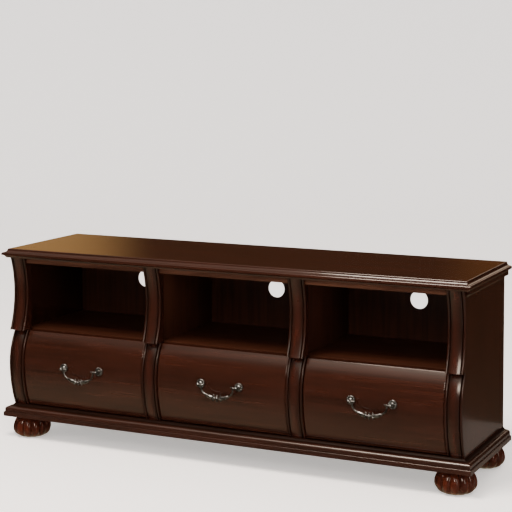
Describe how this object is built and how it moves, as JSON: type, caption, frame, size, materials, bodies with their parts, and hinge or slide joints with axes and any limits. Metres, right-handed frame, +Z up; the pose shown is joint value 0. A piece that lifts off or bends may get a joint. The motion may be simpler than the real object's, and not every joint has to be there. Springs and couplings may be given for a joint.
{
  "type": "tv stand",
  "caption": "Low lacquered TV stand with an S-curved bombe front, open bays over sliding drawers, carved pilasters, drop pulls and lobed bun feet.",
  "frame": {"origin": "on the floor, under the middle of the stand's box", "axes": "+X along the width, the front faces -Y, +Z up"},
  "size_m": [1.53, 0.4316, 0.602],
  "materials": {
    "cherry_lacquer": "dark cherry stain under glossy lacquer",
    "stained_interior": "dark brown stain, satin",
    "drawer_wood": "plain sanded hardwood and plywood",
    "antique_pewter": "cast metal, antique pewter",
    "zinc_plated_steel": "zinc plated"
  },
  "bodies": {
    "carcass": {"top_panel": "cherry_lacquer", "top_moulding_left": "cherry_lacquer", "top_moulding_right": "cherry_lacquer", "side_panel_left": "cherry_lacquer", "side_panel_right": "cherry_lacquer", "base_moulding_front": "cherry_lacquer", "base_moulding_left": "cherry_lacquer", "base_moulding_right": "cherry_lacquer", "upper_pilaster_outer_left": "cherry_lacquer", "upper_pilaster_inner_left": "cherry_lacquer", "upper_pilaster_inner_right": "cherry_lacquer", "upper_pilaster_outer_right": "cherry_lacquer", "lower_pilaster_outer_left": "cherry_lacquer", "lower_pilaster_inner_left": "cherry_lacquer", "lower_pilaster_inner_right": "cherry_lacquer", "lower_pilaster_outer_right": "cherry_lacquer", "bun_foot_front_left": "cherry_lacquer", "bun_foot_back_left": "cherry_lacquer", "bun_foot_front_right": "cherry_lacquer", "bun_foot_back_right": "cherry_lacquer", "top_rail_left": "cherry_lacquer", "top_rail_middle": "cherry_lacquer", "top_rail_right": "cherry_lacquer", "partition_left": "stained_interior", "partition_right": "stained_interior", "bottom_panel": "stained_interior", "back_panel": "stained_interior", "shelf_left": "stained_interior", "shelf_middle": "stained_interior", "shelf_right": "stained_interior", "drawer_runners": "drawer_wood", "drawer_kickers": "drawer_wood", "foot_blocks": "drawer_wood", "back_panel_screws": "zinc_plated_steel", "foot_hanger_bolts": "zinc_plated_steel"},
    "left_drawer": {"left_drawer_front": "cherry_lacquer", "left_drawer_side_left": "drawer_wood", "left_drawer_side_right": "drawer_wood", "left_drawer_back": "drawer_wood", "left_drawer_bottom": "drawer_wood", "left_pull_posts": "antique_pewter", "left_pull_screws": "zinc_plated_steel"},
    "left_bail": {"left_pull_bail": "antique_pewter"},
    "middle_drawer": {"middle_drawer_front": "cherry_lacquer", "middle_drawer_side_left": "drawer_wood", "middle_drawer_side_right": "drawer_wood", "middle_drawer_back": "drawer_wood", "middle_drawer_bottom": "drawer_wood", "middle_pull_posts": "antique_pewter", "middle_pull_screws": "zinc_plated_steel"},
    "middle_bail": {"middle_pull_bail": "antique_pewter"},
    "right_drawer": {"right_drawer_front": "cherry_lacquer", "right_drawer_side_left": "drawer_wood", "right_drawer_side_right": "drawer_wood", "right_drawer_back": "drawer_wood", "right_drawer_bottom": "drawer_wood", "right_pull_posts": "antique_pewter", "right_pull_screws": "zinc_plated_steel"},
    "right_bail": {"right_pull_bail": "antique_pewter"}
  },
  "joints": [
    {"name": "left_drawer_slide", "type": "slide", "parent": "carcass", "child": "left_drawer", "axis": [0, -1, 0], "range_m": [0, 0.25]},
    {"name": "left_bail_swing", "type": "hinge", "parent": "left_drawer", "child": "left_bail", "pos_m": [-0.476, -0.2102, 0.243], "axis": [-1, 0, 0], "range_deg": [-18, 95]},
    {"name": "middle_drawer_slide", "type": "slide", "parent": "carcass", "child": "middle_drawer", "axis": [0, -1, 0], "range_m": [0, 0.25]},
    {"name": "middle_bail_swing", "type": "hinge", "parent": "middle_drawer", "child": "middle_bail", "pos_m": [0, -0.2102, 0.243], "axis": [-1, 0, 0], "range_deg": [-18, 95]},
    {"name": "right_drawer_slide", "type": "slide", "parent": "carcass", "child": "right_drawer", "axis": [0, -1, 0], "range_m": [0, 0.25]},
    {"name": "right_bail_swing", "type": "hinge", "parent": "right_drawer", "child": "right_bail", "pos_m": [0.476, -0.2102, 0.243], "axis": [-1, 0, 0], "range_deg": [-18, 95]}
  ]
}
